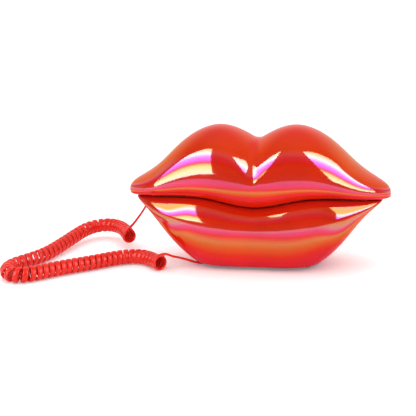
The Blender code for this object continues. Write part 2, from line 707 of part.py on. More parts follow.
def make_slider():
    """Ringer volume: a small knob in a slot at the back."""
    inner, wall, shoulder, tip = SLIDER_DEPTHS
    rounded = (SLIDER_KNOB[0] - 0.4, SLIDER_KNOB[1] - 0.4)
    levels = [(SLIDER_BACK, inner), (SLIDER_BACK, wall), (SLIDER_KNOB, wall),
              (SLIDER_KNOB, shoulder), (rounded, tip)]
    bm = bmesh.new()
    rings = []
    for (half_x, half_z), y in levels:
        outline = rounded_rectangle(SLIDER_X, SLIDER_Z, half_x, half_z, 0.5)
        rings.append([(px, y, pz) for px, pz in outline])
    add_loft(bm, rings)
    finish("ringer_volume_slider", bm, black_plastic(),
           body_empty("slider_guide", (SLIDER_X, 30.0, SLIDER_Z)))


# ---- cord ---------------------------------------------------------------------------------
def smooth_route(route, spacing):
    """Evenly spaced points on a smooth curve through the route's points."""
    lengths = [0.0]
    for a, b in zip(route, route[1:]):
        lengths.append(lengths[-1] + math.dist(a, b))
    axes = [smooth_curve([(s, p[i]) for s, p in zip(lengths, route)]) for i in range(3)]
    count = max(2, round(lengths[-1] / spacing))
    return [tuple(axis(lengths[-1] * i / count) for axis in axes) for i in range(count + 1)]


def make_tube(name, route, radius, spacing, sides_level):
    curve = bpy.data.curves.new(name, "CURVE")
    curve.dimensions = "3D"
    curve.bevel_depth = radius * MM
    curve.bevel_resolution = sides_level
    curve.use_fill_caps = True
    points = smooth_route(route, spacing)
    spline = curve.splines.new("POLY")
    spline.points.add(len(points) - 1)
    for slot, p in zip(spline.points, points):
        slot.co = (p[0] * MM, p[1] * MM, p[2] * MM, 1.0)
    curve.materials.append(cord_red())
    obj = bpy.data.objects.new(name, curve)
    bpy.context.collection.objects.link(obj)


def make_cord():
    make_tube("cord_coil", COIL_ROUTE, COIL_RADIUS, 7.0, 3)
    make_tube("base_cord_tail", BASE_TAIL_ROUTE, CORD_RADIUS, 3.0, 2)
    make_tube("handset_cord_tail", HANDSET_TAIL_ROUTE, CORD_RADIUS, 3.0, 2)


def handset_jack_face():
    """Where the plug stands out of the handset's back."""
    return (HANDSET_JACK_X, HANDSET_TAIL_ROUTE[0][1] - GAP - PLUG_PROUD, HANDSET_JACK_Z)


def make_jacks(handset):
    pocket = (PLUG[0] + GAP, PLUG[1] + GAP, PLUG[2] - PLUG_PROUD + GAP)
    x, y, z = handset_jack_face()
    jack_y = y + PLUG_PROUD - PLUG[2] + HANDSET_PLUG_ENGAGED
    bm = bmesh.new()
    add_jack(bm, (x, jack_y, z), *CORD_JACK_SIZE, HANDSET_JACK_DEPTH,
             (pocket[0], pocket[1], HANDSET_PLUG_ENGAGED + GAP), 1)
    finish("handset_cord_jack", bm, black_plastic(), handset)
    make_plug("handset_cord_plug", (x, y, z), 1, handset)

    bm = bmesh.new()
    add_jack(bm, (BASE_JACK_X, BASE_JACK_Y, BASE_JACK_Z), *CORD_JACK_SIZE, BASE_JACK_DEPTH,
             pocket, -1)
    finish("base_cord_jack", bm, black_plastic())
    make_plug("base_cord_plug", (BASE_JACK_X, BASE_JACK_Y, BASE_JACK_Z), -1)

    bm = bmesh.new()
    add_jack(bm, (LINE_JACK_X, LINE_JACK_Y, LINE_JACK_Z), *LINE_JACK_SIZE, LINE_JACK_POCKET, 1)
    finish("line_jack", bm, black_plastic())


def main():
    for obj in list(bpy.data.objects):
        bpy.data.objects.remove(obj, do_unlink=True)
    handset = body_empty("handset_body", (0, 0, 62.0))
    make_handset_shell(handset)
    make_face_plate(handset)
    make_keys()
    make_handset_inside(handset)
    make_base_shell()
    make_cradle()
    make_bottom_plate()
    make_base_inside()
    make_slider()
    make_jacks(handset)
    make_cord()


main()
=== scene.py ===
"""Looks of the lips telephone: glossy pearl lips, curly cord, keypad, and the studio around them.

Lengths in the constants are millimetres in the frame's own axes: X along the lips, -Y towards the
user, +Z up, origin on the table.  Meshes are made in metres.
"""
import json
import math

import bpy
import bmesh
import numpy as np
from mathutils import Matrix, Vector


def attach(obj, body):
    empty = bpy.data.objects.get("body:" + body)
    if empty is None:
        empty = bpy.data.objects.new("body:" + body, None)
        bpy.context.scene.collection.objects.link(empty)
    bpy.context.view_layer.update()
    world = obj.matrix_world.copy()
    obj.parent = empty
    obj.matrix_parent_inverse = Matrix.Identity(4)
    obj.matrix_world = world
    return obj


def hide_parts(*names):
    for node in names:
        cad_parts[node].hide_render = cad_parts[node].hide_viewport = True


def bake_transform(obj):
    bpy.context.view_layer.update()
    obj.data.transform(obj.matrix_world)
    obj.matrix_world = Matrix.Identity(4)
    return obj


MM = 0.001

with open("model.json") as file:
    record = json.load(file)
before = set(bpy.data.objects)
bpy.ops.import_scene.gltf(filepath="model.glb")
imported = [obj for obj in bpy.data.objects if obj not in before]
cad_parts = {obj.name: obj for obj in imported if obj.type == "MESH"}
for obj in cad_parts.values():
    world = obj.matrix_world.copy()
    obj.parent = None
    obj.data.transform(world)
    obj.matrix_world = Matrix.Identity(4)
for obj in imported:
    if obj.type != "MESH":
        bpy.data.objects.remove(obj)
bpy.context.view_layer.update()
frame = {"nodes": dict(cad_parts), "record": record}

# ---- camera -------------------------------------------------------------------------------
CAMERA_AZIMUTH = 11.0
CAMERA_ELEVATION = 14.0
CAMERA_ROLL = 1.4
CAMERA_DISTANCE = 900.0
CAMERA_TARGET = (-43.0, 0.0, 45.4)
CAMERA_VIEW_ANGLE = 22.19

# ---- studio: grey of the room and of the wall behind, by height ---------------------------
FILL = 1.0
SOFTBOX = 6.0
OVERHEAD = 0.95
LIGHT_CENTRE = Vector((0, 0, 80))
TABLE_HALF_WIDTH = 12.0         # metres
OVERHEAD_HEIGHT = 1500.0
OVERHEAD_WIDTH = 2400.0
# Each softbox: low and high end of its inner edge and a place outward of it, as (azimuth,
# elevation, distance) from the lips, and its width.
SOFTBOXES = {"left_softbox": ((-18, 9, 1300), (-37, 62, 1300), (-91, 36, 2200), 1700),
             "right_softbox": ((36, 9, 1300), (36, 60, 1300), (90, 35, 1500), 1100)}
ROOM_BY_HEIGHT = [(0.0, (0.10, 0.10, 0.10)), (0.25, (0.04, 0.04, 0.04)), (0.7, (0.10, 0.10, 0.10)),
                  (1.0, (0.35, 0.35, 0.35))]
WALL_BY_HEIGHT = [(0.0, (1.0, 1.0, 1.0)), (0.45, (0.9, 0.9, 0.9)), (0.8, (0.4, 0.4, 0.4)),
                  (1.0, (0.35, 0.35, 0.35))]

# ---- the lips' outlines: (station angle in degrees, mm), x = half width * sin(angle) ------
UPPER_HALF_WIDTH = 110.0
LOWER_HALF_WIDTH = 103.5
FOOT_HEIGHT = 2.6
PARTING_GAP = 1.4
WALL = 2.4
OVAL_POWER = 0.92
MOUTH_ROLL = 1.3
MOUTH_INSET = 0.4
UPPER_TOP = [(0, 104.8), (7, 112.4), (17, 117.2), (25, 113.9), (35, 103.6), (47, 87.3),
             (60, 76.2), (76, 68.6), (90, 62.0)]
UPPER_MIDDLE = [(0, 69.6), (17, 72.6), (30, 72.1), (50, 66.6), (72, 63.1), (90, 62.0)]
UPPER_FRONT = [(0, 42.4), (17, 42.0), (33, 37.0), (50, 28.5), (68, 16.0), (80, 7.8), (90, 0.0)]
UPPER_BACK = [(0, 39.0), (17, 42.0), (33, 38.0), (50, 29.5), (68, 16.5), (80, 8.0), (90, 0.0)]
LOWER_BOTTOM = [(0, -7.0), (22, -5.0), (29, 0.5), (39, 13.0), (45, 22.0), (52, 33.0),
                (60, 43.0), (72, 51.5), (90, 57.0)]
LOWER_MIDDLE = [(0, 33.6), (18, 34.1), (40, 40.6), (60, 49.6), (80, 55.4), (90, 57.0)]
LOWER_FRONT = [(0, 39.4), (17, 40.5), (33, 37.6), (50, 28.0), (68, 14.5), (80, 7.0), (90, 0.0)]
LOWER_BACK = [(0, 39.5), (17, 41.0), (33, 37.0), (50, 27.0), (68, 14.0), (80, 7.0), (90, 0.0)]
MOUTH_LINE = [(0, 53.4), (14, 54.9), (30, 58.5), (50, 60.9), (75, 60.0), (103.5, 57.0)]
CREASE_TOP = 6.0
CREASE_FRONT = 34.0
CREASE_TURNS = (0.0, 25.0)
GROOVE_WIDTH = (4.0, 26.0)
GROOVE_SLOPE = 0.21
GROOVE_TURNS = (0.0, 50.0)
GROOVE_SOFTNESS = 5.0
LOWER_SOFTNESS = 20.0

LIP_STATIONS = 241
OUTER_POINTS = 97
INNER_POINTS = 41
RIM_RADIUS = 0.9
RIM_POINTS = 5
SHARP_ANGLE = 40.0
UPPER_CAVITY = (97.0, 102.0)    # |x| where the cavity stops being whole, and where it ends
LOWER_CAVITY = (91.5, 96.0)
CAVITY_FLOOR = 5.6              # lowest height inside the base's wall
FLOOR_EDGE = 1.2                # radius of the edge round the flat underside
UNDERSIDE_LEVEL = 3.3           # height where the bottom plate's opening is outlined
UNDERSIDE_SLACK = 0.5
UNDERSIDE_CUT = (0.6, 6.6)      # heights between which that opening is cut

# ---- curly cord ---------------------------------------------------------------------------
CORD_WIDTH = 4.5
CORD_THICKNESS = 2.0
COIL_RADIUS = 6.3
# Distance between turns along the coil's route: (mm from the base's end, mm).
COIL_PITCH = [(0, 5.1), (90, 5.1), (130, 5.6), (155, 6.4), (200, 6.2), (255, 6.4), (300, 5.5),
              (350, 5.9)]
LAST_TURN_SHORT = 0.14          # share of a turn left out, so that the tail rises from the coil
FIRST_TURN_FLARE = 0.9
FLARE_LENGTH = 8.0
POINTS_PER_TURN = 20
CORD_SIDES = 12
CORD_SQUARENESS = 0.75
CORD_SHARP_ANGLE = 70.0
PITCH_MARKS = 2001
AIM_STEP = 0.5                  # half the stretch of route that gives the coil's direction
TAIL_STEP = 1.6
TAIL_LEAD = 3.0                 # how far a tail follows the helix's own line
TAIL_LEAST_POINTS = 8
COIL_ROUTE = [
    (-76.6, -37.3, 6.6), (-87.0, -26.5, 6.5), (-99.5, -19.0, 6.4), (-109.0, -20.4, 6.4),
    (-117.5, -24.8, 6.4), (-124.8, -30.8, 6.4), (-132.8, -38.0, 6.4), (-143.2, -46.6, 6.4),
    (-152.4, -54.0, 6.4), (-162.4, -63.2, 6.4), (-172.0, -72.8, 6.4), (-180.2, -79.6, 6.4),
    (-189.0, -80.6, 6.4), (-196.8, -73.8, 6.4), (-199.8, -62.4, 6.4), (-197.8, -52.4, 6.4),
    (-193.0, -43.0, 6.4), (-187.0, -31.4, 6.4), (-182.0, -18.2, 6.6), (-178.6, -4.8, 7.2),
    (-175.4, 8.4, 8.2), (-172.4, 21.8, 9.3), (-169.4, 35.4, 10.3), (-165.2, 47.0, 11.2),
    (-159.2, 54.8, 11.8), (-152.0, 58.0, 12.2), (-144.0, 56.8, 12.5), (-135.4, 50.4, 12.6),
    (-126.8, 37.8, 12.6), (-118.6, 20.5, 12.5)]
BASE_TAIL_ROUTE = [
    (-39.0, 4.7, 9.6), (-39.2, 1.0, 9.3), (-39.8, -3.0, 7.4), (-41.0, -7.2, 4.2),
    (-42.8, -10.8, 2.0), (-45.8, -13.8, 1.3), (-50.4, -16.8, 2.0), (-55.6, -19.2, 4.2),
    (-60.6, -22.2, 6.6), (-65.0, -25.8, 8.9), (-68.8, -30.0, 11.0)]
HANDSET_TAIL_ROUTE = [
    (-82.0, 34.0, 69.0), (-82.2, 37.6, 68.6), (-83.4, 40.6, 66.6), (-86.0, 42.0, 63.0),
    (-89.6, 41.6, 58.0), (-95.2, 40.2, 51.8), (-101.0, 38.4, 44.6), (-106.0, 36.4, 37.6),
    (-110.0, 34.0, 31.2), (-113.8, 29.6, 25.8), (-117.2, 24.4, 21.6)]
# The wide side of the ribbon along each tail: (share of its length, direction).
BASE_TAIL_WIDE = [(0.0, (-1.0, 0.0, 0.0))]
HANDSET_TAIL_WIDE = [(0.0, (1.0, 0.0, 0.0)), (0.25, (0.2, 1.0, 0.0)), (0.6, (0.0, 1.0, 0.0))]

# ---- openings in the shells: (x, near y, far y, z, half width, half height) ----------------
PLUG_OPENING = (-82.0, 14.0, 50.0, 69.0, 4.8, 4.3)
LINE_JACK_OPENING = (14.0, 26.0, 50.0, 15.0, 5.6, 4.2)
SLIDER_OPENING = (-20.0, 26.0, 50.0, 15.0, 5.6, 2.0)

# ---- keypad and small hardware -------------------------------------------------------------
KEY_LEGENDS = {"mute": "MUTE", "flash": "FLASH", "redial": "REDIAL", "star": "*", "hash": "#",
               **{digit: digit for digit in "0123456789"}}
LEGEND_SIZE = 5.6
WORD_SIZE = 2.0
LEGEND_HEIGHT = 0.05
SCREWS = 4                      # in the handset, and in the base
SCREW = {"Head Radius": 2.5, "Head Height": 1.5, "Shank Radius": 1.3, "Shank Length": 8.6}
HEAD_SIDES = 28
SHANK_SIDES = 20
RECESS_LENGTH = 1.15            # the cross recess, as shares of the head's radius
RECESS_WIDTH = 0.26
RECESS_DEPTH = 0.5              # and of its height
RECESS_OVERLAP = 0.8            # how far the cutting blades reach out below the head
RECEIVER_X = 66.0
RECEIVER_CIRCLE = 7.0
RECEIVER_HOLE = 1.3
CIRCLE_HOLES = 6
RIM = {"Radius": 1.6, "Thickness": 0.25}
RIM_SIDES = (28, 10)
PLATE_PROBE = 0.5               # distance from a hole's edge where the plate is measured
SLIDER_RIBS = 5
RIB_PITCH = 0.9
RIB = {"Width": 0.4, "Depth": 0.6, "Height": 1.9}


# ---- shader expressions -------------------------------------------------------------------
class Shade:
    """A material being built; sockets of its nodes are used in plain expressions."""

    def __init__(self, name):
        self.material = bpy.data.materials.new(name)
        self.material.use_nodes = True
        self.tree = self.material.node_tree
        self.tree.nodes.clear()
        self.output = self.tree.nodes.new("ShaderNodeOutputMaterial")

    def node(self, kind, settings=None, **values):
        """Add a node: its settings first, then the values or links of its sockets by name."""
        made = self.tree.nodes.new("ShaderNode" + kind)
        for key, value in (settings or {}).items():
            if key == "stops":
                set_stops(made.color_ramp, value)
            else:
                setattr(made, key, value)
        for key, value in values.items():
            self.put(find_socket(made.inputs, key), value)
        return made

    def put(self, socket, value):
        if isinstance(value, Value):
            self.tree.links.new(value.socket, socket)
        elif isinstance(value, (tuple, list)) and socket.type == "RGBA" and len(value) == 3:
            socket.default_value = (*value, 1.0)
        else:
            socket.default_value = value

    def math(self, operation, *values):
        made = self.tree.nodes.new("ShaderNodeMath")
        made.operation = operation
        for socket, value in zip(made.inputs, values):
            self.put(socket, value)
        return Value(self, made.outputs[0])

    def mix(self, factor, a, b):
        """Mix of two colours."""
        made = self.tree.nodes.new("ShaderNodeMix")
        made.data_type = "RGBA"
        self.put(made.inputs[0], factor)
        self.put(made.inputs[6], a)
        self.put(made.inputs[7], b)
        return Value(self, made.outputs[2])

    def place(self):
        return Value(self, self.node("TexCoord").outputs["Object"])

    def axes(self, vector):
        split = self.node("SeparateXYZ", Vector=vector)
        return [Value(self, split.outputs[i]) for i in range(3)]

    def noise(self, scale, detail=2.0):
        made = self.node("TexNoise", Scale=scale, Detail=detail, Vector=self.place())
        return Value(self, made.outputs[0])

    def ramp(self, factor, stops):
        made = self.node("ValToRGB", {"stops": stops}, Fac=factor)
        return Value(self, made.outputs[0])

    def bump(self, height, strength, distance):
        made = self.node("Bump", Height=height, Strength=strength, Distance=distance)
        return Value(self, made.outputs[0])

    def principled(self, **values):
        return Value(self, self.node("BsdfPrincipled", **values).outputs[0])

    def mix_shader(self, factor, a, b):
        made = self.tree.nodes.new("ShaderNodeMixShader")
        for socket, value in zip(made.inputs, (factor, a, b)):
            self.put(socket, value)
        return Value(self, made.outputs[0])

    def finish(self, surface):
        self.put(self.output.inputs["Surface"], surface)
        return self.material


class Value:
    """A socket that adds Math nodes when it is used in an expression."""

    def __init__(self, shade, socket):
        self.shade = shade
        self.socket = socket

    def __add__(self, other):
        return self.shade.math("ADD", self, other)

    def __sub__(self, other):
        return self.shade.math("SUBTRACT", self, other)

    def __rsub__(self, other):
        return self.shade.math("SUBTRACT", other, self)

    def __mul__(self, other):
        return self.shade.math("MULTIPLY", self, other)

    __radd__ = __add__
    __rmul__ = __mul__

    def step(self, low, high):
        """0 below low and 1 above high, smooth between."""
        made = self.shade.node("MapRange", {"interpolation_type": "SMOOTHSTEP"}, Value=self)
        made.inputs[1].default_value = low
        made.inputs[2].default_value = high
        return Value(self.shade, made.outputs[0])


def find_socket(sockets, key):
    """The socket called key, where _ stands for a space; the first one where names repeat."""
    name = key.replace("_", " ")
    return next(s for s in sockets if s.name == name and s.enabled)


def set_stops(color_ramp, stops):
    elements = color_ramp.elements
    while len(elements) < len(stops):
        elements.new(0.5)
    for element, (position, colour) in zip(elements, stops):
        element.position = position
        element.color = (*colour, 1.0)


# ---- curves -------------------------------------------------------------------------------
def smooth_curve(points):
    """Natural cubic spline through (position, value) pairs, as a function of an array."""
    x = np.array([p[0] for p in points], float)
    v = np.array([p[1] for p in points], float)
    n = len(x)
    h = np.diff(x)
    matrix = np.eye(n)
    right = np.zeros(n)
    for i in range(1, n - 1):
        matrix[i, i - 1:i + 2] = h[i - 1], 2 * (h[i - 1] + h[i]), h[i]
        right[i] = 3 * ((v[i + 1] - v[i]) / h[i] - (v[i] - v[i - 1]) / h[i - 1])
    c = np.linalg.solve(matrix, right)

    def value(q):
        q = np.clip(np.asarray(q, float), x[0], x[-1])
        i = np.clip(np.searchsorted(x, q, side="right") - 1, 0, n - 2)
        t = q - x[i]
        b = (v[i + 1] - v[i]) / h[i] - h[i] * (2 * c[i] + c[i + 1]) / 3
        d = (c[i + 1] - c[i]) / (3 * h[i])
        return v[i] + t * (b + t * (c[i] + t * d))
    return value


def smooth_step(low, high, value):
    t = np.clip((value - low) / (high - low), 0, 1)
    return t * t * (3 - 2 * t)


def soft_distance(x, reach):
    """|x| with its point at 0 rounded off within reach."""
    lift = 0.45 * reach * np.maximum(0, 1 - (x / reach) ** 2) ** 2
    return np.hypot(x, lift)


def power(value, exponent):
    return np.sign(value) * np.abs(value) ** exponent


upper_top, upper_middle = smooth_curve(UPPER_TOP), smooth_curve(UPPER_MIDDLE)
upper_front, upper_back = smooth_curve(UPPER_FRONT), smooth_curve(UPPER_BACK)
lower_bottom, lower_middle = smooth_curve(LOWER_BOTTOM), smooth_curve(LOWER_MIDDLE)
lower_front, lower_back = smooth_curve(LOWER_FRONT), smooth_curve(LOWER_BACK)
mouth_curve = smooth_curve(MOUTH_LINE)


def mouth(x):
    return mouth_curve(np.abs(x))


def station_angle(x, half_width):
    return np.degrees(np.arcsin(np.clip(np.abs(x) / half_width, 0, 1)))


# ---- lips ---------------------------------------------------------------------------------
def groove_depth(x, turn):
    """Depth of the groove below the cupid's bow, which narrows to nothing low on the front."""
    low, high = GROOVE_WIDTH
    width = low + (high - low) * smooth_step(*np.radians(GROOVE_TURNS), turn)
    share = np.maximum(0, 1 - soft_distance(x, GROOVE_SOFTNESS) / width)
    return GROOVE_SLOPE * width * share ** 2


def upper_oval(x, turn, inset=0.0):
    """y and z on the upper lip's section; turn is 0 at the front, a quarter at the top."""
    c, s = np.cos(turn), np.sin(turn)
    crease = np.where(turn <= math.pi / 2, smooth_step(*np.radians(CREASE_TURNS), turn),
                      1 - smooth_step(0.9 * math.pi, 1.15 * math.pi, turn))
    reach = CREASE_FRONT + (CREASE_TOP - CREASE_FRONT) * crease
    t = station_angle(soft_distance(x, reach), UPPER_HALF_WIDTH)
    middle = upper_middle(t)
    rise = upper_top(t) - middle - inset
    fall = np.maximum(middle - mouth(x), 0) * MOUTH_ROLL * np.cos(np.radians(t)) ** 0.25
    fall = np.maximum(fall - MOUTH_INSET * inset, 0.01)
    front = upper_front(t) - groove_depth(x, turn)
    depth = np.maximum(np.where(c > 0, front, upper_back(t)) - inset, 0)
    return (-depth * power(c, OVAL_POWER),
            middle + np.where(s > 0, rise, fall) * power(s, OVAL_POWER))


def lower_oval(x, turn, inset=0.0):
    """y and z on the lower lip's section; turn is 0 at the front, a quarter at the top."""
    c, s = np.cos(turn), np.sin(turn)
    t = station_angle(soft_distance(x, LOWER_SOFTNESS), LOWER_HALF_WIDTH) + 0 * turn
    middle = lower_middle(t)
    rise = np.maximum(mouth(x) - middle, 0) * MOUTH_ROLL - MOUTH_INSET * inset
    rise = np.maximum(rise, 0.01)
    fall = np.maximum(middle - lower_bottom(t) - inset, 0.01)
    depth = np.maximum(np.where(c > 0, lower_front(t), lower_back(t)) - inset, 0)
    return (-depth * power(c, OVAL_POWER),
            middle + np.where(s > 0, rise, fall) * power(s, OVAL_POWER))


def turn_at_height(oval, x, height, low_turn, high_turn, inset=0.0):
    """Turn where the section reaches a height, between two turns, by halving."""
    low = np.full_like(x, low_turn)
    high = np.full_like(x, high_turn)
    rising = oval(x, high, inset)[1] >= oval(x, low, inset)[1]
    for _ in range(40):
        middle = (low + high) / 2
        below = (oval(x, middle, inset)[1] < height) == rising
        low = np.where(below, middle, low)
        high = np.where(below, high, middle)
    return (low + high) / 2


def arc_between(oval, x, start, end, count, inset=0.0):
    """count points of each section between two turns: array (stations, count, 3)."""
    share = np.linspace(0, 1, count)[None, :]
    turn = start[:, None] + (end - start)[:, None] * share
    y, z = oval(x[:, None], turn, inset)
    return np.stack([np.broadcast_to(x[:, None], y.shape), y, z], -1)


def rounded_rim(oval, x, edge, turns, side, up):
    """Points that round the outer wall's edge over to the flat rim at height edge.

    turns are the section's limits on that side, side is the sign of y there, and up is 1 where
    the wall stands above its rim."""
    rows = []
    for a in np.linspace(0, math.pi / 2, RIM_POINTS):
        height = edge + up * RIM_RADIUS * (1 - math.sin(a))
        turn = turn_at_height(oval, x, height, *turns)
        y, z = oval(x, turn)
        inward = np.minimum(RIM_RADIUS * (1 - math.cos(a)), np.abs(y))
        rows.append(np.stack([x, y - side * inward, z], -1))
    return np.stack(rows, 1)


def grid_mesh(name, rings):
    """Closed skin over rings of equal length; the first and last are points."""
    stations, around, _ = rings.shape
    bm = bmesh.new()
    rows = [[bm.verts.new(Vector(p) * MM) for p in ring] for ring in rings]
    for i in range(stations - 1):
        for j in range(around):
            k = (j + 1) % around
            bm.faces.new((rows[i][j], rows[i + 1][j], rows[i + 1][k], rows[i][k]))
    bmesh.ops.remove_doubles(bm, verts=bm.verts, dist=1e-6)
    bmesh.ops.dissolve_degenerate(bm, dist=1e-7, edges=bm.edges)
    bmesh.ops.recalc_face_normals(bm, faces=bm.faces)
    return mesh_object(name, bm)


def mesh_object(name, bm, sharp=SHARP_ANGLE):
    mesh = bpy.data.meshes.new(name)
    bm.to_mesh(mesh)
    bm.free()
    mesh.shade_smooth()
    mesh.set_sharp_from_angle(angle=math.radians(sharp))
    obj = bpy.data.objects.new(name, mesh)
    bpy.context.collection.objects.link(obj)
    return obj


def lip_stations(half_width):
    angles = np.linspace(-90, 90, LIP_STATIONS)
    return half_width * np.sin(np.radians(angles))


def cavity_share(x, full, end):
    """1 where the cavity is whole, falling to 0 at its rounded end."""
    return np.sqrt(np.clip(1 - (np.maximum(np.abs(x) - full, 0) / (end - full)) ** 2, 0, 1))


def toward(point, ring, share):
    return point[:, None, :] + (ring - point[:, None, :]) * share[:, None, None]


def make_upper_lip():
    x = lip_stations(UPPER_HALF_WIDTH)
    edge = mouth(x) + PARTING_GAP / 2
    front_turns = (-math.pi / 2, 0.0)
    back_turns = (math.pi, 1.5 * math.pi)
    start = turn_at_height(upper_oval, x, edge + RIM_RADIUS, *front_turns)
    end = turn_at_height(upper_oval, x, edge + RIM_RADIUS, *back_turns)
    outer = arc_between(upper_oval, x, start, end, OUTER_POINTS)
    back_rim = rounded_rim(upper_oval, x, edge, back_turns, 1, 1)
    front_rim = rounded_rim(upper_oval, x, edge, front_turns, -1, 1)[:, ::-1]

    floor = np.stack([x, 0 * x, np.maximum(edge, upper_oval(x, 0 * x - math.pi / 2)[1])], -1)
    start = turn_at_height(upper_oval, x, edge, *front_turns, WALL)
    end = turn_at_height(upper_oval, x, edge, *back_turns, WALL)
    inner = arc_between(upper_oval, x, start, end, INNER_POINTS, WALL)[:, ::-1]
    inner = toward(floor, inner, cavity_share(x, *UPPER_CAVITY))
    rings = np.concatenate([outer, back_rim[:, 1:], inner, front_rim[:, :-1]], 1)
    return grid_mesh("upper_lip", rings)


def make_lower_lip():
    """Outer wall from the back rim under the base to the front rim, then the inner wall."""
    x = lip_stations(LOWER_HALF_WIDTH)
    edge = mouth(x) - PARTING_GAP / 2
    front_turns = (-math.pi / 2, math.pi / 2)
    back_turns = (math.pi / 2, 1.5 * math.pi)
    start = turn_at_height(lower_oval, x, edge - RIM_RADIUS, *front_turns)
    end = turn_at_height(lower_oval, x, edge - RIM_RADIUS, *back_turns) - 2 * math.pi
    outer = arc_between(lower_oval, x, start, end, OUTER_POINTS)
    outer[..., 2] = soft_floor(outer[..., 2])
    back_rim = rounded_rim(lower_oval, x, edge, back_turns, 1, -1)
    front_rim = rounded_rim(lower_oval, x, edge, front_turns, -1, -1)[:, ::-1]

    lowest = lower_oval(x, 0 * x - math.pi / 2)[1]
    lid = np.stack([x, 0 * x, np.maximum(edge, lowest)], -1)
    start = turn_at_height(lower_oval, x, edge, *front_turns, WALL)
    end = turn_at_height(lower_oval, x, edge, *back_turns, WALL) - 2 * math.pi
    inner = arc_between(lower_oval, x, start, end, INNER_POINTS, WALL)[:, ::-1]
    inner[..., 2] = np.maximum(inner[..., 2], CAVITY_FLOOR)
    inner = toward(lid, inner, cavity_share(x, *LOWER_CAVITY))
    rings = np.concatenate([outer, back_rim[:, 1:], inner, front_rim[:, :-1]], 1)
    rings[..., 2] = np.maximum(rings[..., 2], FOOT_HEIGHT)
    return grid_mesh("lower_lip", rings)


def soft_floor(z):
    """Heights cut off at the flat underside, with a small rounded edge."""
    over = z - FOOT_HEIGHT
    return FOOT_HEIGHT + np.where(over > FLOOR_EDGE, over, np.where(
        over < -FLOOR_EDGE, 0, (over + FLOOR_EDGE) ** 2 / (4 * FLOOR_EDGE)))


def add_prism(bm, outline, low, high):
    """Upright prism over an outline of (x, y) points."""
    rings = [[bm.verts.new(Vector((x, y, z)) * MM) for x, y in outline] for z in (low, high)]
    for i in range(len(outline)):
        k = (i + 1) % len(outline)
        bm.faces.new((rings[0][i], rings[0][k], rings[1][k], rings[1][i]))
    bm.faces.new(rings[0])
    bm.faces.new(rings[1])


def carve(obj, bm):
    """Cut the closed solids in bm out of a piece."""
    bmesh.ops.recalc_face_normals(bm, faces=bm.faces)
    tool = mesh_object(obj.name + "_tool", bm)
    cut = obj.modifiers.new("openings", "BOOLEAN")
    cut.operation = "DIFFERENCE"
    cut.solver = "EXACT"
    cut.object = tool
    make_plain(obj)
    bpy.data.objects.remove(tool)


def make_plain(obj):
    """Put a piece's evaluated mesh in it and take its modifiers off."""
    evaluated = obj.evaluated_get(bpy.context.evaluated_depsgraph_get())
    mesh = bpy.data.meshes.new_from_object(evaluated)
    obj.modifiers.clear()
    obj.data = mesh
    mesh.shade_smooth()
    mesh.set_sharp_from_angle(angle=math.radians(SHARP_ANGLE))


def add_opening(bm, opening):
    x, near, far, z, half_width, half_height = opening
    left, right = x - half_width, x + half_width
    add_prism(bm, [(left, near), (right, near), (right, far), (left, far)],
              z - half_height, z + half_height)


def underside_outline():
    """The base's open underside, inside its wall, as wide as the bottom plate."""
    x = lip_stations(LOWER_HALF_WIDTH)
    x = x[lower_oval(x, 0 * x - math.pi / 2, WALL)[1] < UNDERSIDE_LEVEL - UNDERSIDE_SLACK]
    sides = []
    for turns in ((-math.pi / 2, 0.0), (math.pi, 1.5 * math.pi)):
        turn = turn_at_height(lower_oval, x, UNDERSIDE_LEVEL, *turns, WALL)
        sides.append(np.stack([x, lower_oval(x, turn, WALL)[0]], -1))
    return [tuple(q) for q in np.concatenate([sides[0], sides[1][::-1]])]


# ---- cord ---------------------------------------------------------------------------------
def route_curve(route):
    """Function of distance along a route, and its length."""
    points = np.array(route, float)
    steps = np.linalg.norm(np.diff(points, axis=0), axis=1)
    marks = np.concatenate([[0], np.cumsum(steps)])
    axes = [smooth_curve(list(zip(marks, points[:, i]))) for i in range(3)]
    return (lambda s: np.stack([axis(s) for axis in axes], -1)), marks[-1]


def unit(v):
    return v / np.linalg.norm(v, axis=-1, keepdims=True)


def coil_points():
    """The helix along the coil's route, and the coil's direction at each point."""
    route, length = route_curve(COIL_ROUTE)
    marks = np.linspace(0, length, PITCH_MARKS)
    pitch = np.interp(marks, *zip(*COIL_PITCH))
    turns = np.concatenate([[0], np.cumsum(np.diff(marks) / pitch[1:])])
    turns *= (round(turns[-1]) - LAST_TURN_SHORT) / turns[-1]
    turn = np.linspace(0, turns[-1], round(turns[-1] * POINTS_PER_TURN) + 1)
    s = np.interp(turn, turns, marks)
    along = unit(route(np.minimum(s + AIM_STEP, length)) - route(np.maximum(s - AIM_STEP, 0)))
    side = unit(np.cross((0.0, 0.0, 1.0), along))
    lift = unit(np.cross(along, side))
    angle = (2 * math.pi * turn)[:, None]
    flare = FIRST_TURN_FLARE * (1 - smooth_step(0, FLARE_LENGTH, s))[:, None]
    radius = COIL_RADIUS - CORD_THICKNESS / 2 + flare
    middle = route(s) + flare * (0.0, 0.0, 1.0)
    return middle + radius * (np.cos(angle) * lift + np.sin(angle) * side), along


def join_smoothly(tail, helix, wide, wide_at_helix):
    """A tail that meets the helix's first point along the helix's own line.

    wide lists the ribbon's wide direction by share of the length; the helix gives the last."""
    start = helix[0]
    away = unit(helix[0] - helix[1])
    route, length = route_curve(list(tail) + [tuple(start + away * TAIL_LEAD), tuple(start)])
    s = np.linspace(0, length, max(TAIL_LEAST_POINTS, round(length / TAIL_STEP)))[:-1]
    shares, directions = zip(*wide, (1.0, tuple(wide_at_helix)))
    directions = np.array(directions)
    return route(s), np.stack([np.interp(s / length, shares, directions[:, i])
                               for i in range(3)], -1)


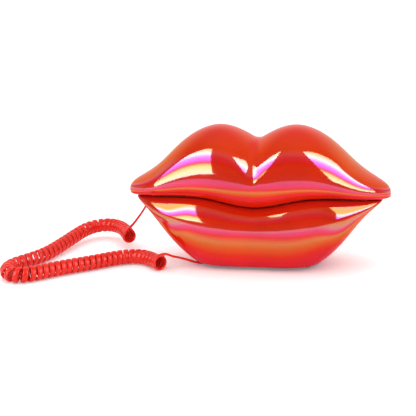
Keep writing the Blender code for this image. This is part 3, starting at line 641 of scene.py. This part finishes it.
def cord_path():
    """Points of the cord from the base's plug to the handset's, with its wide direction."""
    helix, along = coil_points()
    first, first_wide = join_smoothly(BASE_TAIL_ROUTE, helix, BASE_TAIL_WIDE, along[0])
    last, last_wide = join_smoothly(HANDSET_TAIL_ROUTE, helix[::-1], HANDSET_TAIL_WIDE, -along[-1])
    points = np.concatenate([first, helix, last[::-1]])
    wide = np.concatenate([first_wide, along, -last_wide[::-1]])
    return points, wide


def make_cord():
    points, wide = cord_path()
    ahead = unit(np.gradient(points, axis=0))
    wide = unit(wide - ahead * np.sum(wide * ahead, -1, keepdims=True))
    thick = np.cross(ahead, wide)
    turns = 2 * math.pi * (np.arange(CORD_SIDES) + 0.5) / CORD_SIDES
    across = CORD_WIDTH / 2 * power(np.cos(turns), CORD_SQUARENESS)
    deep = CORD_THICKNESS / 2 * power(np.sin(turns), CORD_SQUARENESS)
    rings = (points[:, None, :] + across[None, :, None] * wide[:, None, :]
             + deep[None, :, None] * thick[:, None, :])
    bm = bmesh.new()
    rows = [[bm.verts.new(Vector(p) * MM) for p in ring] for ring in rings]
    for a, b in zip(rows, rows[1:]):
        for j in range(CORD_SIDES):
            k = (j + 1) % CORD_SIDES
            bm.faces.new((a[j], b[j], b[k], a[k]))
    bm.faces.new(rows[0])
    bm.faces.new(rows[-1])
    bmesh.ops.recalc_face_normals(bm, faces=bm.faces)
    return mesh_object("curly_cord", bm, CORD_SHARP_ANGLE), points * MM


# ---- small hardware by Geometry Nodes -----------------------------------------------------
class Tree:
    """A Geometry Nodes tree being built: named inputs for sizes, and one geometry output."""

    def __init__(self, name, *sizes):
        self.group = bpy.data.node_groups.new(name, "GeometryNodeTree")
        interface = self.group.interface
        interface.new_socket("Geometry", in_out="INPUT", socket_type="NodeSocketGeometry")
        for size in sizes:
            interface.new_socket(size, in_out="INPUT", socket_type="NodeSocketFloat")
        interface.new_socket("Material", in_out="INPUT", socket_type="NodeSocketMaterial")
        interface.new_socket("Geometry", in_out="OUTPUT", socket_type="NodeSocketGeometry")
        self.inputs = self.group.nodes.new("NodeGroupInput").outputs
        self.output = self.group.nodes.new("NodeGroupOutput").inputs[0]

    def node(self, kind, settings=None, **values):
        """Add a node and give its first output; a list links to a socket that takes several."""
        made = self.group.nodes.new(kind)
        for key, value in (settings or {}).items():
            setattr(made, key, value)
        for key, value in values.items():
            socket = find_socket(made.inputs, key)
            for item in value if isinstance(value, list) else [value]:
                if isinstance(item, bpy.types.NodeSocket):
                    self.group.links.new(item, socket)
                else:
                    socket.default_value = item
        return next(out for out in made.outputs if out.enabled)

    def vector(self, x=0.0, y=0.0, z=0.0):
        return self.node("ShaderNodeCombineXYZ", X=x, Y=y, Z=z)

    def times(self, value, factor):
        made = self.group.nodes.new("ShaderNodeMath")
        made.operation = "MULTIPLY"
        self.group.links.new(value, made.inputs[0])
        made.inputs[1].default_value = factor
        return made.outputs[0]

    def move(self, geometry, **places):
        return self.node("GeometryNodeTransform", Geometry=geometry,
                         Translation=self.vector(**places))

    def finish(self, instance):
        """One instance on each point, realized, with the material."""
        placed = self.node("GeometryNodeInstanceOnPoints", Points=self.inputs["Geometry"],
                           Instance=instance)
        real = self.node("GeometryNodeRealizeInstances", Geometry=placed)
        dressed = self.node("GeometryNodeSetMaterial", Geometry=real,
                            Material=self.inputs["Material"])
        self.group.links.new(dressed, self.output)
        return self.group


def screw_tree():
    """Screws driven upwards: a head below each point with a cross recess, a shank above it."""
    t = Tree("screws", *SCREW)
    radius, height = t.inputs["Head Radius"], t.inputs["Head Height"]
    head = t.move(t.node("GeometryNodeMeshCylinder", Vertices=HEAD_SIDES, Radius=radius,
                         Depth=height), z=t.times(height, -0.5))
    arm, slot = t.times(radius, RECESS_LENGTH), t.times(radius, RECESS_WIDTH)
    deep = t.times(height, RECESS_DEPTH + RECESS_OVERLAP)
    middle = t.times(height, RECESS_DEPTH - 1 - (RECESS_DEPTH + RECESS_OVERLAP) / 2)
    blades = [t.move(t.node("GeometryNodeMeshCube", Size=t.vector(x, y, deep)), z=middle)
              for x, y in ((arm, slot), (slot, arm))]
    recessed = t.node("GeometryNodeMeshBoolean", {"operation": "DIFFERENCE"}, Mesh_1=head,
                      Mesh_2=blades)
    shank = t.move(t.node("GeometryNodeMeshCylinder", Vertices=SHANK_SIDES,
                          Radius=t.inputs["Shank Radius"], Depth=t.inputs["Shank Length"]),
                   z=t.times(t.inputs["Shank Length"], 0.5))
    return t.finish(t.node("GeometryNodeJoinGeometry", Geometry=[recessed, shank]))


def rim_tree():
    """A low rounded rim around each point."""
    t = Tree("rims", *RIM)
    ring, profile = (t.node("GeometryNodeCurvePrimitiveCircle", Resolution=sides,
                            Radius=t.inputs[size]) for size, sides in zip(RIM, RIM_SIDES))
    return t.finish(t.node("GeometryNodeCurveToMesh", Curve=ring, Profile_Curve=profile))


def rib_tree():
    """An upright rib on each point."""
    t = Tree("ribs", *RIB)
    return t.finish(t.node("GeometryNodeMeshCube", Size=t.vector(
        t.inputs["Width"], t.inputs["Depth"], t.inputs["Height"])))


def grow(name, group, points, look, sizes):
    """The plain mesh that a tree makes on points; sizes are by input name, in millimetres."""
    mesh = bpy.data.meshes.new(name)
    mesh.from_pydata([Vector(q) * MM for q in points], [], [])
    obj = bpy.data.objects.new(name, mesh)
    bpy.context.collection.objects.link(obj)
    modifier = obj.modifiers.new(name, "NODES")
    modifier.node_group = group
    for item in group.interface.items_tree:
        if item.in_out == "INPUT" and item.socket_type == "NodeSocketFloat":
            modifier[item.identifier] = sizes[item.name] * MM
        elif item.in_out == "INPUT" and item.name == "Material":
            modifier[item.identifier] = look
    make_plain(obj)
    return obj


def cad_limits(name):
    """Lowest and highest corner of a CAD node, in millimetres."""
    corners = np.array([v.co[:] for v in frame["nodes"][name].data.vertices]) / MM
    return corners.min(0), corners.max(0)


def make_screws(body, prefix, look):
    names = [f"{prefix}_{i + 1}" for i in range(SCREWS)]
    seats = []
    for name in names:
        low, high = cad_limits(name)
        middle = (low + high) / 2
        seats.append((middle[0], middle[1], low[2] + SCREW["Head Height"]))
    screws = grow(prefix + "s", screw_tree(), seats, look, SCREW)
    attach(screws, body)
    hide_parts(*names)


def plate_height(x, y):
    """Height of the face plate's underside."""
    plate = frame["nodes"]["handset_face_plate"]
    return plate.ray_cast(Vector((x, y, 0.0)) * MM, Vector((0, 0, 1)))[1][2] / MM


def make_grille_rims(look):
    """Rims around the earpiece's sound holes."""
    places = [(RECEIVER_X, 0.0)]
    for i in range(CIRCLE_HOLES):
        a = 2 * math.pi * i / CIRCLE_HOLES
        places.append((RECEIVER_X + RECEIVER_CIRCLE * math.cos(a), RECEIVER_CIRCLE * math.sin(a)))
    points = [(x, y, plate_height(x, y + RECEIVER_HOLE + PLATE_PROBE)) for x, y in places]
    rims = grow("earpiece_rims", rim_tree(), points, look, RIM)
    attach(rims, "handset")


def make_slider_ribs(look):
    """Grip ribs on the knob of the ringer's volume slider."""
    low, high = cad_limits("ringer_volume_slider")
    middle = (low + high) / 2
    points = [(middle[0] + RIB_PITCH * (i - (SLIDER_RIBS - 1) / 2), high[1], middle[2])
              for i in range(SLIDER_RIBS)]
    ribs = grow("slider_ribs", rib_tree(), points, look, RIB)
    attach(ribs, "ringer_volume_slider")


def make_legend(key, legend, look):
    """Raised print on a key's lower face, read from below with the earpiece up."""
    low, high = cad_limits("key_" + key)
    font = bpy.data.curves.new("legend", "FONT")
    font.body = legend
    font.size = (LEGEND_SIZE if len(legend) == 1 else WORD_SIZE) * MM
    font.extrude = LEGEND_HEIGHT * MM
    font.align_x = "CENTER"
    text = bpy.data.objects.new("legend", font)
    bpy.context.collection.objects.link(text)
    flat = bpy.data.meshes.new_from_object(
        text.evaluated_get(bpy.context.evaluated_depsgraph_get()))
    bpy.data.objects.remove(text)
    corners = np.array([v.co[:] for v in flat.vertices])
    flat.transform(Matrix.Translation(-Vector((corners.min(0) + corners.max(0)) / 2)))
    middle = Vector(((low[0] + high[0]) / 2, (low[1] + high[1]) / 2, low[2])) * MM
    facing_down = Matrix(((0, 1, 0), (1, 0, 0), (0, 0, -1))).to_4x4()
    flat.transform(Matrix.Translation(middle) @ facing_down)
    flat.materials.clear()
    flat.materials.append(look)
    obj = bpy.data.objects.new("legend_" + key, flat)
    bpy.context.collection.objects.link(obj)
    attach(obj, "key_" + key)


# ---- materials ----------------------------------------------------------------------------
# Tint of the pearl coat by how far the surface leans up (0 faces down, 1 faces up).
PEARL_TINTS = [
    (0.00, (0.90, 0.08, 0.30)), (0.25, (0.90, 0.06, 0.22)), (0.34, (0.90, 0.12, 0.10)),
    (0.42, (0.70, 0.50, 0.12)), (0.475, (0.55, 0.85, 0.30)), (0.52, (1.00, 0.16, 0.20)),
    (0.56, (0.95, 0.28, 0.90)), (0.60, (0.55, 0.85, 0.85)), (0.65, (0.42, 0.95, 0.52)),
    (0.69, (0.40, 0.70, 0.28)), (0.715, (0.50, 0.10, 0.08)), (0.74, (0.45, 0.14, 0.90)),
    (0.77, (0.45, 0.30, 1.00)), (0.80, (0.50, 1.00, 1.00)), (0.85, (0.80, 0.52, 0.10)),
    (0.90, (0.70, 0.50, 0.20)), (1.00, (0.80, 0.40, 0.35))]
PEARL_RED = (0.64, 0.017, 0.003)
PEARL_MIRROR = 0.13             # share of the mirror seen face on
PEARL_EDGE = 0.75               # and what is added to it towards the silhouette
TINT_SHIFT = 0.03
TINT_WANDER = 0.05
LOW_END_SHIFT = 0.12            # the lower lip's ends go towards gold
LOW_END_REACH = (0.050, 0.075)  # |x| in metres between which they start
LOW_END_TOP = (0.056, 0.060)    # heights in metres between which they stop


def pearl_lip_material():
    """Red shell under a pearl coat: a mirror whose tint turns with the slope of the surface."""
    m = Shade("pearl_red")
    slope = Value(m, m.node("TexCoord").outputs["Normal"])
    lean_z = m.axes(slope)[2]
    x, _, z = m.axes(m.place())
    low_ends = (x * x).step(*(d ** 2 for d in LOW_END_REACH)) * (1 - z.step(*LOW_END_TOP))
    film = TINT_WANDER * (m.noise(9.0, 1.0) - 0.5) + TINT_SHIFT + LOW_END_SHIFT * low_ends
    phase = lean_z * 0.5 + 0.5 + film
    tint = m.ramp(phase, PEARL_TINTS)
    flow = m.noise(26.0, 2.0)
    deep = m.mix(flow.step(0.35, 0.7), PEARL_RED, tuple(c * 0.9 for c in PEARL_RED))
    peel = m.noise(150.0, 1.0)
    wave = m.bump(peel, 0.12, 0.0004)
    shell = m.principled(Base_Color=deep, Roughness=0.6, Normal=wave, Specular_IOR_Level=0.0)
    mirror = m.principled(Base_Color=tint, Metallic=1.0, Roughness=0.07, Normal=wave)
    edge = Value(m, m.node("LayerWeight", Blend=0.36).outputs["Fresnel"])
    return m.finish(m.mix_shader(PEARL_MIRROR + PEARL_EDGE * edge, shell, mirror))


def cord_material():
    """Soft glossy jacket whose red varies a little along the cord."""
    m = Shade("cord_jacket")
    grain = m.noise(900.0, 2.0)
    tone = m.mix(m.noise(60.0), (0.76, 0.014, 0.004), (0.66, 0.011, 0.003))
    shader = m.principled(Base_Color=tone, Roughness=0.3 + 0.1 * grain,
                          Specular_IOR_Level=0.12, Coat_Weight=0.3, Coat_Roughness=0.06)
    return m.finish(shader)


def plastic_material(name, colour, roughness):
    """Moulded plastic with a fine grain and a slow change of tone."""
    m = Shade(name)
    grain = m.noise(700.0, 3.0)
    patch = m.noise(40.0, 2.0)
    tone = m.mix(patch, colour, tuple(c * 0.88 for c in colour))
    shader = m.principled(Base_Color=tone, Roughness=roughness + 0.12 * grain,
                          Normal=m.bump(grain, 0.4, 0.00004))
    return m.finish(shader)


def metal_material():
    m = Shade("zinc_steel")
    grain = m.noise(500.0, 3.0)
    shader = m.principled(Base_Color=(0.62, 0.62, 0.64), Metallic=1.0,
                          Roughness=0.25 + 0.2 * grain)
    return m.finish(shader)


def board_material():
    m = Shade("circuit_board")
    grain = m.noise(160.0, 3.0)
    tone = m.mix(grain.step(0.45, 0.6), (0.02, 0.14, 0.05), (0.05, 0.24, 0.09))
    shader = m.principled(Base_Color=tone, Roughness=0.35)
    return m.finish(shader)


def floor_material():
    m = Shade("white_table")
    tone = m.mix(m.noise(4.0), (0.93, 0.93, 0.93), (0.90, 0.90, 0.90))
    shader = m.principled(Base_Color=tone, Roughness=0.6, Specular_IOR_Level=0.2,
                          Emission_Color=(1.0, 1.0, 1.0), Emission_Strength=0.15)
    return m.finish(shader)


def legend_material():
    m = Shade("legend_print")
    tone = m.mix(m.noise(300.0), (0.10, 0.015, 0.012), (0.16, 0.02, 0.015))
    return m.finish(m.principled(Base_Color=tone, Roughness=0.5))


def dress_cad_nodes():
    """Materials for the CAD nodes that stay as they are, by the record's material slots."""
    looks = {
        "pearl_red_plastic": pearl_lip_material(),
        "red_plastic": plastic_material("red_plastic", (0.52, 0.015, 0.012), 0.28),
        "key_plastic": plastic_material("key_plastic", (0.85, 0.80, 0.74), 0.25),
        "black_plastic": plastic_material("black_plastic", (0.025, 0.025, 0.027), 0.42),
        "clear_plastic": plastic_material("clear_plastic", (0.72, 0.68, 0.64), 0.12),
        "rubber": plastic_material("rubber", (0.04, 0.04, 0.04), 0.7),
        "circuit_green": board_material(),
        "steel": metal_material(),
        "cord_red": cord_material(),
    }
    for part in frame["record"]["subparts"]:
        node = frame["nodes"][part["node"]]
        node.data.materials.clear()
        node.data.materials.append(looks[part["material_slot"]])
    return looks


# ---- studio -------------------------------------------------------------------------------
def area_light(name, middle, across, up, radiance):
    """Rectangular light; across and up are its whole sides, and it shines along across x up."""
    data = bpy.data.lights.new(name, "AREA")
    data.shape = "RECTANGLE"
    data.size, data.size_y = across.length * MM, up.length * MM
    data.energy = radiance * data.size * data.size_y * math.pi
    obj = bpy.data.objects.new(name, data)
    back = across.cross(up).normalized()
    turn = Matrix((across.normalized(), up.normalized(), back)).transposed()
    obj.matrix_world = Matrix.Translation(middle * MM) @ turn.to_4x4()
    obj.visible_camera = False
    bpy.context.collection.objects.link(obj)
    return obj


def toward_place(azimuth, elevation, distance):
    """Point seen from the lips at an azimuth from -Y towards +X, in degrees."""
    a, e = math.radians(azimuth), math.radians(elevation)
    return LIGHT_CENTRE + distance * Vector((math.sin(a) * math.cos(e),
                                             -math.cos(a) * math.cos(e), math.sin(e)))


def softbox(name, low, high, outward, width):
    """Softbox that only shows in gloss: its inner edge runs from low to high."""
    up = high - low
    across = outward - high
    across -= up * (across.dot(up) / up.dot(up))
    across = across.normalized() * width
    middle = (low + high) / 2 + across / 2
    if across.cross(up).dot(middle - LIGHT_CENTRE) < 0:
        across = -across
    obj = area_light(name, middle, across, up, SOFTBOX)
    obj.visible_diffuse = False


def make_camera():
    azimuth, elevation = math.radians(CAMERA_AZIMUTH), math.radians(CAMERA_ELEVATION)
    back = Vector((math.sin(azimuth) * math.cos(elevation),
                   -math.cos(azimuth) * math.cos(elevation), math.sin(elevation)))
    right = Vector((math.cos(azimuth), math.sin(azimuth), 0.0))
    up = back.cross(right)
    roll = -math.radians(CAMERA_ROLL)
    turned_right = right * math.cos(roll) + up * math.sin(roll)
    turned_up = back.cross(turned_right)
    data = bpy.data.cameras.new("camera")
    data.sensor_width = 36.0
    data.angle = math.radians(CAMERA_VIEW_ANGLE)
    camera = bpy.data.objects.new("camera", data)
    turn = Matrix((turned_right, turned_up, back)).transposed()
    place = (Vector(CAMERA_TARGET) + back * CAMERA_DISTANCE) * MM
    camera.matrix_world = Matrix.Translation(place) @ turn.to_4x4()
    bpy.context.collection.objects.link(camera)
    bpy.context.scene.camera = camera


def make_world():
    """White to the eye and for fill; in reflections a white wall behind and a dark room."""
    world = bpy.data.worlds.new("studio")
    bpy.context.scene.world = world
    world.use_nodes = True
    tree = world.node_tree
    tree.nodes.clear()

    def node(kind, **values):
        made = tree.nodes.new("ShaderNode" + kind)
        for key, value in values.items():
            socket = made.inputs[key]
            if isinstance(value, bpy.types.NodeSocket):
                tree.links.new(value, socket)
            else:
                socket.default_value = value
        return made

    room = tree.nodes.new("ShaderNodeValToRGB")
    set_stops(room.color_ramp, ROOM_BY_HEIGHT)
    wall = tree.nodes.new("ShaderNodeValToRGB")
    set_stops(wall.color_ramp, WALL_BY_HEIGHT)
    axes = node("SeparateXYZ", Vector=node("TexCoord").outputs["Generated"])
    tree.links.new(axes.outputs["Z"], room.inputs[0])
    tree.links.new(axes.outputs["Z"], wall.inputs[0])
    behind = node("MapRange", Value=axes.outputs["Y"])
    behind.inputs["From Min"].default_value = -0.1
    behind.inputs["From Max"].default_value = 0.5
    mix = tree.nodes.new("ShaderNodeMix")
    mix.data_type = "RGBA"
    tree.links.new(behind.outputs[0], mix.inputs[0])
    tree.links.new(room.outputs[0], mix.inputs[6])
    tree.links.new(wall.outputs[0], mix.inputs[7])
    seen = node("Background", Color=mix.outputs[2], Strength=1.0)
    fill = node("Background", Color=(1, 1, 1, 1), Strength=FILL)
    path = node("LightPath")
    both = tree.nodes.new("ShaderNodeMixShader")
    tree.links.new(path.outputs["Is Glossy Ray"], both.inputs[0])
    tree.links.new(fill.outputs[0], both.inputs[1])
    tree.links.new(seen.outputs[0], both.inputs[2])
    white = node("Background", Color=(1, 1, 1, 1), Strength=1.0)
    last = tree.nodes.new("ShaderNodeMixShader")
    tree.links.new(path.outputs["Is Camera Ray"], last.inputs[0])
    tree.links.new(both.outputs[0], last.inputs[1])
    tree.links.new(white.outputs[0], last.inputs[2])
    output = tree.nodes.new("ShaderNodeOutputWorld")
    tree.links.new(last.outputs[0], output.inputs[0])


def make_studio():
    bm = bmesh.new()
    bmesh.ops.create_grid(bm, x_segments=1, y_segments=1, size=TABLE_HALF_WIDTH)
    floor = mesh_object("table", bm)
    floor.data.materials.append(floor_material())
    make_world()
    for name, (low, high, outward, width) in SOFTBOXES.items():
        softbox(name, toward_place(*low), toward_place(*high), toward_place(*outward), width)
    overhead = area_light("overhead", Vector((0, 0, OVERHEAD_HEIGHT)),
                          Vector((OVERHEAD_WIDTH, 0, 0)), Vector((0, OVERHEAD_WIDTH, 0)), OVERHEAD)
    overhead.visible_glossy = False
    bpy.context.scene.view_settings.view_transform = "Standard"


# ---- assembly -----------------------------------------------------------------------------
def add_cord(look):
    cord, path = make_cord()
    cord.data.materials.append(look)
    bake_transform(cord)
    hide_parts("cord_coil", "base_cord_tail", "handset_cord_tail")


def add_lip(lip, openings, body, shell, look):
    """Cut a lip's openings and let it stand for its shell."""
    carve(lip, openings)
    lip.data.materials.append(look)
    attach(lip, body)
    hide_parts(shell)


def main():
    make_camera()
    looks = dress_cad_nodes()
    add_cord(looks["cord_red"])

    pearl = looks["pearl_red_plastic"]
    openings = bmesh.new()
    add_opening(openings, PLUG_OPENING)
    add_lip(make_upper_lip(), openings, "handset", "handset_shell", pearl)

    openings = bmesh.new()
    add_opening(openings, LINE_JACK_OPENING)
    add_opening(openings, SLIDER_OPENING)
    add_prism(openings, underside_outline(), *UNDERSIDE_CUT)
    add_lip(make_lower_lip(), openings, "root", "base_shell", pearl)

    make_screws("handset", "handset_screw", looks["steel"])
    make_screws("root", "base_screw", looks["steel"])
    make_grille_rims(looks["red_plastic"])
    make_slider_ribs(looks["black_plastic"])
    print_look = legend_material()
    for key, legend in KEY_LEGENDS.items():
        make_legend(key, legend, print_look)

    make_studio()


main()
